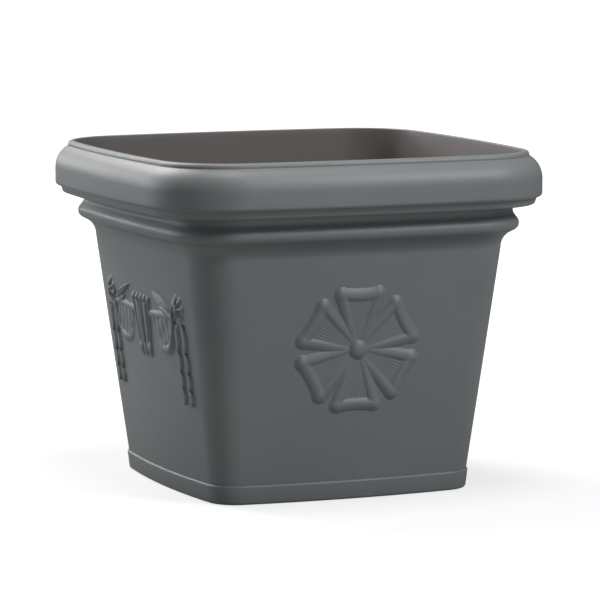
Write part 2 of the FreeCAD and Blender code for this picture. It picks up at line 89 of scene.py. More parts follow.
class PotSizes(PropertyGroup):
    """Plan, wall and mouldings of the pot."""

    rim_width: FloatProperty(name="Rim width", description="Across the rim, mid-side to mid-side",
                             default=POT_HIGH[0] - POT_LOW[0], unit="LENGTH")
    height: FloatProperty(name="Height", description="Ground to the top of the collar",
                          default=POT_HIGH[2] - POT_LOW[2], unit="LENGTH")
    rim_corner: length("Rim corner", "Corner radius of the rim's widest line", 79.0)
    rim_side: length("Rim side radius", "Radius of the rim's bowed sides", 1460.0)
    base_width: length("Base width", "Across the wall's line carried down to the ground", 267.0)
    base_corner: length("Base corner", "Corner radius at the ground", 27.0)
    base_side: length("Base side radius", "Radius of the bowed sides at the ground", 868.0)
    wall: length("Wall", "Thickness of the moulded wall", 4.0)
    mouth_inset: length("Mouth inset", "Mouth edge, in from the rim's widest line", 18.6)
    mouth_round: length("Mouth round", "Rounding of the mouth's inner edge", 1.4)
    collar_width: length("Collar width", "Width of the raised lip round the mouth", 6.3)
    collar_height: length("Collar height", "Height of the raised lip", 4.7)
    collar_round: length("Collar round", "Rounding of the lip's outer edge", 3.8)
    bullnose_radius: length("Bullnose radius", "Radius of the rim's rounded shoulder", 24.0)
    bullnose_depth: length("Bullnose depth", "Top of the collar to the bullnose's foot", 42.4)
    bullnose_foot: length("Bullnose foot", "Rounding of the bullnose's lower edge", 3.4)
    listel_setback: length("Listel setback", "Listel, in from the rim's widest line", 4.9)
    listel_height: length("Listel height", "Height of the flat band below the bullnose", 7.2)
    listel_draft: length("Listel draft", "How far the listel leans in", 2.4)
    listel_round: length("Listel round", "Rounding of the listel's lower edge", 2.6)
    neck_inset: length("Neck inset", "Neck, in from the rim's widest line", 27.4)
    neck_height: length("Neck height", "Straight neck under the listel", 8.0)
    neck_round: length("Neck round", "Rounding between neck and listel", 1.6)
    scotia_radius: length("Scotia radius", "Hollow between neck and bead", 8.0)
    bead_reach: length("Bead reach", "Where the bead's flanks would meet, beyond the neck", 9.6)
    bead_drop: length("Bead drop", "The same point, below the listel", 20.0)
    bead_radius: length("Bead radius", "Roundness of the bead", 6.9)
    crease_drop: length("Crease drop", "Crease between bead and cove, below the listel", 26.6)
    crease_inset: length("Crease inset", "Crease, in from the rim's widest line", 30.8)
    cove_height: length("Cove height", "Height of the cove over the wall", 14.2)
    wall_inset: length("Wall inset", "Top of the wall, in from the rim's widest line", 38.6)
    knee_inset: length("Knee inset", "Inside, where the wall turns towards the mouth", 36.0)
    knee_drop: length("Knee drop", "The knee, below the top", 72.0)
    knee_round: length("Knee round", "Roundness of the knee", 40.0)
    plinth_height: length("Plinth height", "Height of the foot band", 18.0)
    plinth_proud: length("Plinth proud", "Foot band beyond the wall", 2.1)
    plinth_ledge: length("Plinth ledge", "Rounding of the foot band's upper edge", 1.6)
    plinth_foot: length("Plinth foot", "Rounding of the foot band's lower edge", 2.8)
    plinth_width: length("Plinth width", "Width of the foot ring underneath", 9.0)
    floor_underside: length("Floor underside", "Floor above the ground", 8.0)
    floor: length("Floor", "Thickness of the floor", 5.0)
    rib_width: length("Rib width", "Stiffening ribs under the floor", 4.0)
    rib_depth: length("Rib depth", "Depth of those ribs", 5.0)
    drain_radius: length("Drain radius", "Radius of the drain holes", 9.0)
    drain_out: length("Drain out", "Drain holes from the middle, along both axes", 66.0)


class RosetteSizes(PropertyGroup):
    """The six-petalled rosette on the front and back walls."""

    height: length("Height", "Middle of the rosette above the ground", 141.0)
    radius: length("Radius", "Middle to the outer edge of a petal", 60.0)
    petals: IntProperty(name="Petals", description="Number of petals", default=6, min=3)
    half_width: length("Half width", "Middle line of the border, at a petal's outer corners", 18.3)
    rib: length("Rib", "Half width of a petal's rounded border", 8.0)
    rib_tip: length("Rib at the boss", "The same beside the boss", 5.0)
    rise: length("Rise", "Height of the border", 3.2)
    panel_rise: length("Panel rise", "Height of the panel inside the border", 1.1)
    bow: length("Bow", "How far a petal's outer bar bows in", 1.6)
    strokes: length("Strokes", "Depth of the fine lines on the panels", 0.16)
    boss_radius: length("Boss radius", "Radius of the middle boss", 9.8)
    boss_rise: length("Boss rise", "Height of the middle boss", 4.8)


class FestoonSizes(PropertyGroup):
    """The festoon on the left and right walls."""

    knot_out: length("Knot out", "Knots from the middle of the wall", 89.0)
    knot_height: length("Knot height", "Knots above the ground", 179.0)
    knot_radius: length("Knot radius", "Outer radius of a knot", 14.0)
    knot_lobes: IntProperty(name="Knot lobes", description="Lobes round a knot", default=7, min=3)
    drop_spread: length("Drop spread", "Husk drops either side of their knot", 7.6)
    drop_top: length("Drop top", "Upper end of the drops", 164.0)
    drop_length: length("Drop length", "Length of the drops", 75.0)
    husk: length("Husk", "Half width of a husk", 7.2)
    stem: length("Stem", "Half width of the stem from a knot to a drop", 4.0)
    swag_top: length("Swag top", "Where the cloth leaves its knots", 172.0)
    swag_low: length("Swag low", "Lowest line of the cloth between knot and middle", 137.0)
    roll: length("Rolled edge", "Half width of the cloth's rolled edge at its ends", 3.4)
    roll_swell: length("Rolled edge swell", "How much wider it is at its lowest", 3.0)
    band: length("Band", "Half width of the band along the cloth's top", 5.0)
    drape_out: length("Drape out", "Half width of the upright folds in the middle", 23.0)
    drape_top: length("Drape top", "Top of the upright folds", 179.0)
    drape_low: length("Drape low", "Foot of the upright folds", 126.0)
    bead: length("Bead", "Radius of the beads over the upright folds", 5.2)
    bead_pitch: length("Bead pitch", "From bead to bead", 9.5)
    tassel: length("Tassel", "Radius of the folds' round ends", 6.0)
    tassel_pitch: length("Tassel pitch", "From one round end to the next", 11.0)
    soft: length("Softness", "Width over which the cloth rises from the wall", 4.0)
    rise: length("Rise", "Height of the boldest forms", 2.9)


class Finish(PropertyGroup):
    """Colours and roughness of the materials."""

    pot: colour("Pot", "Anthracite plastic of the pot", 0.126, 0.139, 0.143)
    pot_pale: colour("Pot, pale", "The same where the skin is scuffed pale", 0.142, 0.153, 0.156)
    # Painted shade and painted warm light: the inside's colour is darker and warmer than the outer plastic,
    # though the plastic is the same inside and out.
    pot_inside_shade: colour("Pot, inside", "Duller, warmer tone of the pot's inside", 0.090, 0.081, 0.077)
    inside_gloss: share("Inside gloss", "Strength of reflections inside the pot", 0.12)
    pot_roughness: share("Pot roughness", "Satin sheen of the pot", 0.5)
    grid: colour("Grid", "Black plastic of the grid and its legs", 0.022, 0.023, 0.024)
    grid_roughness: share("Grid roughness", "Finish of the grid", 0.66)
    plug: colour("Plug", "Rubber of the drain plugs", 0.014, 0.014, 0.015)
    plug_roughness: share("Plug roughness", "Finish of the plugs", 0.75)


class StageSizes(PropertyGroup):
    """Camera, floor and lamps."""

    distance: FloatProperty(name="Distance", description="Camera to the point aimed at", default=3.5718,
                            unit="LENGTH")
    azimuth: angle("Azimuth", "Camera round the planter", -22.55)
    elevation: angle("Elevation", "Camera above the horizon", 6.90)
    roll: angle("Roll", "Camera about its own axis", -0.06)
    view_angle: angle("View angle", "Across the square picture", 9.135)
    aim_right: length("Aim right", "Point aimed at, to the camera's right of the middle", 4.94)
    aim_height: length("Aim height", "Point aimed at, above the ground", 169.93)
    floor: colour("Floor", "Colour of the floor", 0.26, 0.26, 0.26)


# Mesh helpers

def weld(name, sheets, material, sharp=35.0):
    """One closed mesh from sheets of (points, faces): doubles merged, normals outward, creases kept."""
    mesh = bpy.data.meshes.new(name)
    work = bmesh.new()
    for points, faces in sheets:
        part = bpy.data.meshes.new(name)
        part.from_pydata(points.reshape(-1, 3).tolist(), [], faces.tolist())
        work.from_mesh(part)
        bpy.data.meshes.remove(part)
    bmesh.ops.remove_doubles(work, verts=work.verts, dist=2e-6)
    bmesh.ops.dissolve_degenerate(work, dist=1e-7, edges=work.edges)
    bmesh.ops.recalc_face_normals(work, faces=work.faces)
    if work.calc_volume(signed=True) < 0:
        bmesh.ops.reverse_faces(work, faces=work.faces)
    if not all(edge.is_manifold for edge in work.edges):
        raise RuntimeError(name + " isn't closed")
    work.to_mesh(mesh)
    work.free()
    mesh.shade_smooth()
    mesh.set_sharp_from_angle(angle=math.radians(sharp))
    mesh.materials.append(material)
    piece = bpy.data.objects.new(name, mesh)
    bpy.context.scene.collection.objects.link(piece)
    return piece


def grid_faces(rows, columns, closed):
    """Four-sided faces of a grid of points, row by row, wrapped round its columns where closed."""
    across = columns if closed else columns - 1
    row, column = np.meshgrid(np.arange(rows - 1), np.arange(across), indexing="ij")
    here = row * columns + column
    beside = row * columns + (column + 1) % columns
    return np.stack([here, beside, beside + columns, here + columns], axis=-1).reshape(-1, 4)


def sheet(points, closed):
    """Points of a grid with its faces."""
    return points, grid_faces(points.shape[0], points.shape[1], closed)


def border(points):
    """The closed line round a grid of points."""
    return np.concatenate([points[0, :-1], points[:-1, -1], points[-1, :0:-1], points[:0:-1, 0]])


def rounded_profile(corners, arc_steps):
    """Points along straight lines through (x, z, radius) corners, each corner rounded by a tangent arc."""
    places = np.array([corner[:2] for corner in corners])
    points = [places[:1]]
    for index in range(1, len(corners) - 1):
        here, radius = places[index], corners[index][2]
        if radius == 0:
            points.append(here[None])
            continue
        back = (places[index - 1] - here) / np.linalg.norm(places[index - 1] - here)
        on = (places[index + 1] - here) / np.linalg.norm(places[index + 1] - here)
        half = math.acos(float(back @ on)) / 2
        inward = (back + on) / np.linalg.norm(back + on)
        centre = here + inward * radius / math.sin(half)
        turn = math.pi / 2 - half
        swing = np.linspace(-turn, turn, arc_steps + 1)[:, None]
        across = (on - back) / np.linalg.norm(on - back)
        points.append(centre + radius * (np.sin(swing) * across - np.cos(swing) * inward))
    points.append(places[-1:])
    return np.vstack(points)


def denser(points, step):
    """The same line with its long straight stretches cut into steps."""
    gaps = np.linalg.norm(np.diff(points, axis=0), axis=1)
    counts = np.maximum(np.ceil(gaps / step).astype(int), 1)
    places = np.concatenate([index + np.arange(count) / count for index, count in enumerate(counts)])
    places = np.append(places, len(points) - 1)
    whole = np.arange(len(points))
    return np.column_stack([np.interp(places, whole, points[:, 0]), np.interp(places, whole, points[:, 1])])


# Plan of the pot

def rim_plan(sizes):
    """Half-width, corner radius and side radius of the rim's widest line."""
    return np.array([sizes.rim_width / 2, sizes.rim_corner, sizes.rim_side])


def base_plan(sizes):
    """The same for the wall's line carried down to the ground."""
    return np.array([sizes.base_width / 2, sizes.base_corner, sizes.base_side])


def levels(sizes):
    """Heights of the foot of the bullnose, the listel's underside, the crease and the wall's top."""
    foot = sizes.height - sizes.bullnose_depth
    listel = foot - sizes.listel_height
    crease = listel - sizes.crease_drop
    return foot, listel, crease, crease - sizes.cove_height


def wall_plan(sizes, z, depth=0.0):
    """The tapered wall's plan at heights z: even change from the base plan to the wall's top."""
    part = np.asarray(z)[..., None] / levels(sizes)[3]
    low = base_plan(sizes)
    high = rim_plan(sizes) - sizes.wall_inset
    return low + (high - low) * part - depth


def wall_lean(sizes):
    """Angle of the wall from upright."""
    top = sizes.rim_width / 2 - sizes.wall_inset
    return math.atan((top - sizes.base_width / 2) / levels(sizes)[3])


def turned(points, quarter):
    """Points turned about the upright axis by quarter turns, exactly."""
    x, y, z = points[..., 0], points[..., 1], points[..., 2]
    for step in range(quarter % 4):
        x, y = -y, x
    return np.stack([x, y, z], axis=-1)


def rings(plans, z, side_steps=14, corner_steps=14):
    """Rings of points round the plans, from the middle of the front.

    Each quarter is half a bowed side, a corner arc and half the next side. A side is an arc about a
    centre behind the opposite side, a corner an arc about a centre on the diagonal, and both are
    tangent where they meet.
    """
    half, corner, side = (plans[:, index:index + 1] for index in range(3))
    back = side - half
    reach = side - corner
    out = (np.sqrt(2 * reach ** 2 - back ** 2) - back) / 2
    span = np.arctan2(out, out + back)
    rise = np.linspace(0, 1, side_steps, endpoint=False)[None, :] * span
    bend = span + np.linspace(0, 1, corner_steps, endpoint=False)[None, :] * (math.pi / 2 - 2 * span)
    fall = np.linspace(-1, 0, side_steps, endpoint=False)[None, :] * span
    level = np.asarray(z)[:, None]

    def arcs(x, y):
        """Points of an arc at every level."""
        return np.stack(np.broadcast_arrays(x, y, level), axis=-1)

    first = arcs(side * np.sin(rise), back - side * np.cos(rise))
    middle = arcs(out + corner * np.sin(bend), -out - corner * np.cos(bend))
    last = arcs(side * np.sin(fall), back - side * np.cos(fall))
    quarter = np.concatenate([first, middle, turned(last, 1)], axis=1)
    return np.concatenate([turned(quarter, turn) for turn in range(4)], axis=1)


# The pot

def bullnose_corner(sizes):
    """Corner that the bullnose arc rounds: upright at the rim's widest line, ending at the collar."""
    radius = sizes.bullnose_radius
    run = sizes.mouth_inset - sizes.collar_width
    turn = math.acos((radius - run) / radius)
    top = sizes.height - sizes.collar_height
    return 0.0, top - radius * math.sin(turn) + radius * math.tan(turn / 2), radius * (1 - 1e-9)


def rim_profile(sizes):
    """Section from the wall inside, over the mouth, down the mouldings to the wall outside."""
    foot, listel, crease, wall_top = levels(sizes)
    collar = sizes.collar_width - sizes.mouth_inset
    cove_run = sizes.wall_inset - sizes.crease_inset
    cove_chord = cove_run ** 2 + sizes.cove_height ** 2
    corners = [
        (-sizes.wall_inset - sizes.wall, wall_top, 0),
        (-sizes.knee_inset, sizes.height - sizes.knee_drop, sizes.knee_round),
        (-sizes.mouth_inset, sizes.height, sizes.mouth_round),
        (collar, sizes.height, sizes.collar_round),
        (collar, sizes.height - sizes.collar_height, 0),
        bullnose_corner(sizes),
        (0, foot, sizes.bullnose_foot),
        (-sizes.listel_setback, foot, 0),
        (-sizes.listel_setback - sizes.listel_draft, listel, sizes.listel_round),
        (-sizes.neck_inset, listel, sizes.neck_round),
        (-sizes.neck_inset, listel - sizes.neck_height, sizes.scotia_radius),
        (sizes.bead_reach - sizes.neck_inset, listel - sizes.bead_drop, sizes.bead_radius),
        (-sizes.crease_inset, crease, 0),
        (-sizes.wall_inset, wall_top + cove_chord / (2 * sizes.cove_height),
         cove_chord / (2 * cove_run) * (1 - 1e-9)),
        (-sizes.wall_inset, wall_top, 0),
    ]
    return denser(rounded_profile(corners, 12), 5 * MM)


def plinth_profile(sizes):
    """Section of the foot band: ledge, face with the wall's slope, foot, and the ring's inner side."""
    lean = math.tan(wall_lean(sizes)) * sizes.plinth_height
    back = sizes.plinth_proud - sizes.plinth_width
    corners = [
        (lean, sizes.plinth_height, 0),
        (sizes.plinth_proud + lean, sizes.plinth_height, sizes.plinth_ledge),
        (sizes.plinth_proud, 0, sizes.plinth_foot),
        (back, 0, MM),
        (back, sizes.floor_underside, 0),
    ]
    return rounded_profile(corners, 8)


def pot_skin(sizes):
    """Rings from the inner edge of the floor, up and over the rim, down to the floor's underside."""
    wall_top = levels(sizes)[3]
    floor = sizes.floor_underside + sizes.floor
    inner_z = np.linspace(floor, wall_top, 10)[:-1]
    rim = rim_profile(sizes)
    outer_z = np.linspace(wall_top, sizes.plinth_height, 26)[1:]
    plinth = plinth_profile(sizes)
    plans = np.vstack([
        wall_plan(sizes, inner_z, sizes.wall),
        rim_plan(sizes) + rim[:, :1],
        wall_plan(sizes, outer_z),
        base_plan(sizes) + plinth[:, :1],
    ])
    return rings(plans, np.concatenate([inner_z, rim[:, 1], outer_z, plinth[:, 1]]))


def floor_quarter(sizes, upper, lower, quarter):
    """A quarter of the floor round its drain: rays from the drain's edge to the quarter's border.

    The border is the quarter's stretch of wall and the two lines from mid-side to the middle. The rows
    run in over the top, down the drain and out under the floor.
    """
    steps = np.linspace(0, 1, 9)
    count = upper.shape[0] // 4
    pick = (np.arange(count + 1) + quarter * count) % upper.shape[0]

    def outline(ring):
        """The quarter's closed border from one ring of the skin."""
        start, end = ring[pick[0]], ring[pick[-1]]
        middle = np.array([0.0, 0.0, start[2]])
        inward = end + (middle - end) * steps[1:, None]
        outward = middle + (start - middle) * steps[1:-1, None]
        return np.vstack([ring[pick], inward, outward])

    top, bottom = outline(upper), outline(lower)
    drain = turned(np.array([sizes.drain_out, -sizes.drain_out, 0.0]), quarter)
    ray = top[:, :2] - drain[:2]
    edge = drain[:2] + sizes.drain_radius * ray / np.linalg.norm(ray, axis=1, keepdims=True)
    hole_top = np.column_stack([edge, top[:, 2]])
    hole_bottom = np.column_stack([edge, bottom[:, 2]])
    part = np.linspace(0, 1, 7)[:, None, None]
    rows = np.concatenate([top + (hole_top - top) * part, hole_bottom + (bottom - hole_bottom) * part])
    return sheet(rows, True)


def floor_rib(sizes, turn):
    """A straight rib under the floor, ending inside the foot ring: a rounded section carried along a line."""
    half = sizes.rib_width / 2
    top = sizes.floor_underside + sizes.floor / 2
    low = sizes.floor_underside - sizes.rib_depth
    section = rounded_profile([(half, top, 0), (half, low, MM), (-half, low, MM), (-half, top, 0)], 4)
    reach = (sizes.base_width - sizes.plinth_width) / 2
    along = np.array([-reach, -reach, reach, reach])[:, None]
    middle = section.mean(axis=0)
    size = np.array([0.0, 1.0, 1.0, 0.0])[:, None, None]
    outline = middle + (section - middle) * size
    rows = np.stack([np.broadcast_to(along, outline.shape[:2]), outline[..., 0], outline[..., 1]], axis=-1)
    return sheet(turned(rows, turn), True)


def beyond(plans, x, y):
    """Signed distance of points from the plans at their heights, negative inside."""
    half, corner, side = plans.T
    back = side - half
    out = (np.sqrt(2 * (side - corner) ** 2 - back ** 2) - back) / 2
    along, across = np.maximum(np.abs(x), np.abs(y)), np.minimum(np.abs(x), np.abs(y))
    from_side = np.hypot(across, along + back) - side
    from_corner = np.hypot(along - out, across - out) - corner
    span = np.arctan2(out, out + back)
    return np.where(np.arctan2(across, along + back) > span, from_corner, from_side)


def mark_inside(mesh, sizes):
    """A point attribute, 1 on the pot's inner faces and 0 outside, fading over the mouth's edge; it places
    the painted shade of the inside.
    """
    flat = np.empty(3 * len(mesh.vertices))
    mesh.vertices.foreach_get("co", flat)
    x, y, z = flat.reshape(-1, 3).T
    top = levels(sizes)[3]
    inset = np.interp(z, [top, sizes.height - sizes.knee_drop, sizes.height],
                      [sizes.wall_inset + sizes.wall, sizes.knee_inset, sizes.mouth_inset])
    plans = np.where((z < top)[:, None], wall_plan(sizes, z, sizes.wall), rim_plan(sizes) - inset[:, None])
    inner = (beyond(plans, x, y) < sizes.wall / 4) & (z > sizes.floor_underside + sizes.floor / 2)
    fade = smooth_step(sizes.height - z, 0.0, sizes.mouth_round)
    mark = mesh.attributes.new("inside", "FLOAT", "POINT")
    mark.data.foreach_set("value", (inner * fade).astype(np.float32))


# Reliefs on the walls

def on_wall(sizes, across, z, lift, quarter):
    """Points of the bowed, leaning wall of a quarter, raised along its normal.

    A point lies on the side's arc at its height; the normal turns with the arc and leans down with the wall.
    """
    plans = wall_plan(sizes, z)
    half, side = plans[..., 0], plans[..., 2]
    turn = np.arcsin(across / side)
    lean = wall_lean(sizes)
    foot = np.stack([across, side - half - side * np.cos(turn), z], axis=-1)
    normal = np.stack([np.sin(turn) * math.cos(lean), -np.cos(turn) * math.cos(lean),
                       np.full_like(across, -math.sin(lean))], axis=-1)
    return turned(foot + normal * lift[..., None], quarter)


def smooth_step(value, low, high):
    """0 below low, 1 above high, an S-curve between."""
    part = np.clip((value - low) / (high - low), 0, 1)
    return part * part * (3 - 2 * part)


def mound(distance, reach, rise, power=1.5):
    """A soft round ridge: full rise at distance 0, level with the wall from reach on."""
    return rise * (1 - np.clip(distance / reach, 0, 1) ** 2) ** power


def highest(*heights):
    """A soft maximum, so that forms run into each other."""
    return sum(np.maximum(height, 0) ** 7 for height in heights) ** (1 / 7)


def to_segment(x, y, start, end):
    """Distance to a straight segment, and how far along it, from 0 to 1."""
    run = (end[0] - start[0], end[1] - start[1])
    along = ((x - start[0]) * run[0] + (y - start[1]) * run[1]) / (run[0] ** 2 + run[1] ** 2)
    along = np.clip(along, 0, 1)
    return np.hypot(x - start[0] - along * run[0], y - start[1] - along * run[1]), along


def leaf(x, y, place, size, turn, rise, vein=0.35):
    """A pointed oval with a sunk midrib, turned about its middle."""
    c, s = math.cos(turn), math.sin(turn)
    along = (x - place[0]) * c + (y - place[1]) * s
    across = (y - place[1]) * c - (x - place[0]) * s
    width = size[1] * np.clip(1 - (along / size[0]) ** 2, 0, 1)
    form = mound(np.abs(across), np.maximum(width, 1e-6), rise) * (width > 1e-6)
    crease = 1 - vein * np.exp(-(across / (0.16 * size[1])) ** 2)
    return form * crease


STROKES = (96, 151)  # strokes on a petal's panel, in radians of wave per radian of the fan
PETAL_SOFT = 2 * MM  # width over which a panel rises inside its border
ROUND = 1.1  # fullness of a border's section
STEEPER = 0.3  # how much steeper a border falls to its panel than to the wall


def rosette_height(sizes, radius, turn):
    """Height of the rosette at a radius and an angle from upright.

    The angle is folded into one petal. Its border is two ridges that thicken outwards and a bar that bows
    in, all steeper on the petal's inside, and two round corners; within them lies a low panel with fine
    lines that fan out from the boss.
    """
    fold = 2 * math.pi / sizes.petals
    around = (turn + fold / 2) % fold - fold / 2
    x, y = np.abs(radius * np.sin(around)), radius * np.cos(around)
    outer = sizes.radius - sizes.rib
    corner = (sizes.half_width, outer)
    tip = (sizes.rib_tip * 0.6, sizes.boss_radius * 0.5)
    flank, along = to_segment(x, y, tip, corner)
    flank_reach = sizes.rib_tip + (sizes.rib - sizes.rib_tip) * along
    flank_rise = sizes.rise * (0.45 + 0.55 * along)
    bow = sizes.bow * (1 - (x / sizes.half_width) ** 2)
    bar = np.where(x < sizes.half_width, np.abs(y - outer + bow), np.hypot(x - corner[0], y - corner[1]))
    knob = np.hypot(x - corner[0], y - corner[1])
    edge = x - (tip[0] + (corner[0] - tip[0]) * (y - tip[1]) / (corner[1] - tip[1]))
    flank = flank * (1 + STEEPER * smooth_step(-edge, 0.0, PETAL_SOFT))
    bar = bar * (1 + STEEPER * smooth_step(outer - bow - y, 0.0, PETAL_SOFT))
    ridges = highest(mound(flank, flank_reach, flank_rise, ROUND), mound(bar, sizes.rib, sizes.rise, ROUND),
                     mound(knob, sizes.rib * 1.08, sizes.rise * 1.04, ROUND))
    inside = smooth_step(-edge, 0.0, PETAL_SOFT) * smooth_step(outer - y, 0.0, PETAL_SOFT)
    inside = inside * smooth_step(y, tip[1], tip[1] + 3 * PETAL_SOFT)
    fan = np.arctan2(radius * np.sin(around), y + 2 * PETAL_SOFT)
    coarse, fine = STROKES
    lines = np.sin(coarse * fan) + 0.6 * np.sin(fine * fan + 0.7)
    panel = inside * (sizes.panel_rise + sizes.strokes * lines * smooth_step(y, 0.42 * outer, 0.7 * outer))
    boss = mound(radius, sizes.boss_radius, sizes.boss_rise, 0.7)
    return highest(ridges, panel, boss)


def rosette_sheets(pot, sizes, quarter):
    """A disc just under the wall's face, raised by the rosette and closed by a plain back within the wall."""
    margin = 7 * MM
    reach = sizes.radius + margin
    radius = np.linspace(0, reach, 112)[:, None]
    turn = np.linspace(0, 2 * math.pi, 400, endpoint=False)[None, :]
    across, rise = radius * np.sin(turn), radius * np.cos(turn)
    edge = smooth_step(radius, sizes.radius + MM, reach)
    front = rosette_height(sizes, radius, turn) - SUNK - SUNK * edge
    back = BACK + 2 * SUNK * edge + 0 * turn
    z = sizes.height + rise * math.cos(wall_lean(pot))
    return [sheet(on_wall(pot, across, z, lift, quarter), True) for lift in (front, back)]


Leaf = namedtuple("Leaf", "place size tilt rise vein")  # its rise is a multiple of the festoon's
LEAVES = (
    Leaf(place=(53 * MM, 181 * MM), size=(25 * MM, 4.6 * MM), tilt=-0.36, rise=1.4, vein=0.5),
    Leaf(place=(61 * MM, 172 * MM), size=(16 * MM, 3.8 * MM), tilt=-0.3, rise=1.0, vein=0.3),
)
HUSKS = (0.34, 0.25, 0.21, 0.20)  # each husk's share of a drop, from the top
CREASE, CREASE_SWING = 1.6 * MM, 8 * MM  # lengths over which the cloth's waves turn by a radian
WRINKLE_UP, WRINKLE_ALONG = 3.4 * MM, 5 * MM
PLEATS, PLEAT_SWING, PLEAT_SHIFT = (13, 21), 11 * MM, 24 * MM


def knot_forms(sizes, x, z):
    """A round knot of lobes with a bud in its middle, and the leaves that spring from it."""
    away = np.hypot(x - sizes.knot_out, z - sizes.knot_height)
    spin = np.arctan2(z - sizes.knot_height, x - sizes.knot_out)
    lobes = 0.66 + 0.34 * np.cos(sizes.knot_lobes * spin)
    forms = [1.45 * mound(away, sizes.knot_radius, sizes.rise, 0.9) * lobes,
             mound(away, 0.36 * sizes.knot_radius, 1.6 * sizes.rise, 0.8)]
    for one in LEAVES:
        forms.append(leaf(x, z, one.place, one.size, one.tilt, one.rise * sizes.rise, one.vein))
    return forms


def drop_forms(sizes, x, z):
    """Two drops of husks under a knot, each husk a pointed oval, each drop on its stem."""
    forms = []
    knot_low = sizes.knot_height - 10 * MM
    for beside in (-1, 1):
        middle = sizes.knot_out + beside * sizes.drop_spread
        foot = sizes.drop_top
        for part in HUSKS:
            long = part * sizes.drop_length
            place = (middle, foot - long / 2)
            forms.append(leaf(x, z, place, (0.53 * long, sizes.husk), math.pi / 2, 1.05 * sizes.rise, 0.12))
            foot -= long
        away, _ = to_segment(x, z, (sizes.knot_out, knot_low), (middle, sizes.drop_top - 6 * MM))
        forms.append(mound(away, sizes.stem, 0.7 * sizes.rise))
    return forms


def swag_forms(sizes, x, z):
    """Cloth between a band and a rolled edge, a cubic from the knot to the middle, with upright creases."""
    inner, outer = sizes.drape_out, sizes.knot_out - sizes.knot_radius + 3 * MM
    half = (outer - inner) / 2
    part = (x - inner - half) / half
    within = np.clip(1 - np.abs(part) ** 3, 0, 1)
    sag = sizes.swag_top - sizes.swag_low
    line = sizes.swag_top - sag * within
    slope = 3 * sag * part ** 2 / half
    gap = np.abs(z - line) / np.sqrt(1 + slope ** 2)
    roll = mound(gap, sizes.roll + sizes.roll_swell * within, sizes.rise) * (within > 0)
    cloth = smooth_step(z - line, 0, sizes.soft) * smooth_step(sizes.swag_top - z, 0, sizes.soft)
    cloth = cloth * smooth_step(within, 0, 0.3)
    creases = 0.46 + 0.11 * np.cos(x / CREASE + 1.5 * np.sin(z / CREASE_SWING))
    creases = creases + 0.1 * np.cos(z / WRINKLE_UP - x / WRINKLE_ALONG)
    band, _ = to_segment(x, z, (inner - 2 * MM, sizes.swag_top - 5 * MM), (outer, sizes.swag_top - 2 * MM))
    return [roll * (0.3 + 0.9 * smooth_step(part, -0.9, 0.5)), sizes.rise * cloth * creases,
            mound(band, sizes.band, 0.68 * sizes.rise)]


def drape_forms(sizes, across, z):
    """Upright folds that narrow downwards, with beads over them and round ends below."""
    x = np.abs(across)
    fall = np.clip((sizes.drape_top - z) / (sizes.drape_top - sizes.drape_low), 0, 1)
    side = sizes.drape_out * (1 - 0.42 * fall)
    drape = smooth_step(side - x, -2 * MM, 3 * MM)
    drape = drape * smooth_step(z, sizes.drape_low, sizes.drape_low + 2 * sizes.soft)
    drape = drape * smooth_step(sizes.drape_top - z, 0, sizes.soft)
    sway = across / side + 0.03 * np.sin(z / PLEAT_SWING)
    broad, narrow = PLEATS
    pleats = 0.6 + 0.22 * np.cos(broad * sway) + 0.16 * np.cos(narrow * sway + z / PLEAT_SHIFT)
    forms = [sizes.rise * drape * pleats]
    for number in range(3):
        away = np.hypot(x - number * sizes.bead_pitch, z - sizes.drape_top)
        forms.append(mound(away, sizes.bead, 1.1 * sizes.rise, 0.9))
    for number in range(2):
        away = np.hypot(x - number * sizes.tassel_pitch, (z - sizes.drape_low - sizes.tassel) * 0.7)
        forms.append(mound(away, sizes.tassel, 1.05 * sizes.rise, 0.9))
    return forms


def festoon_height(sizes, across, z):
    """Height of the festoon: the highest of its knots, drops, cloth and upright folds, on both halves."""
    x = np.abs(across)
    return highest(*knot_forms(sizes, x, z), *drop_forms(sizes, x, z), *swag_forms(sizes, x, z),
                   *drape_forms(sizes, across, z))


def festoon_sheets(pot, sizes, quarter):
    """An oblong just under the wall's face, raised by the festoon, with an edge and a back in the wall."""
    half = sizes.knot_out + sizes.knot_radius + 6 * MM
    low = sizes.drop_top - sizes.drop_length - 12 * MM
    high = sizes.knot_height + sizes.knot_radius + 5 * MM
    across = np.linspace(-half, half, 300)[None, :]
    z = np.linspace(low, high, 160)[:, None]
    inset = np.minimum(np.minimum(half - np.abs(across), z - low), high - z)
    edge = 1 - smooth_step(inset, 0, 5 * MM)
    lift = festoon_height(sizes, across, z) - SUNK - SUNK * edge
    across, z = np.broadcast_arrays(across, z)
    front = on_wall(pot, across, z, lift, quarter)
    back = on_wall(pot, across, z, np.full_like(lift, BACK), quarter)
    strip = np.stack([border(front), border(back)])
    return [sheet(front, False), sheet(back, False), sheet(strip, True)]


# Materials

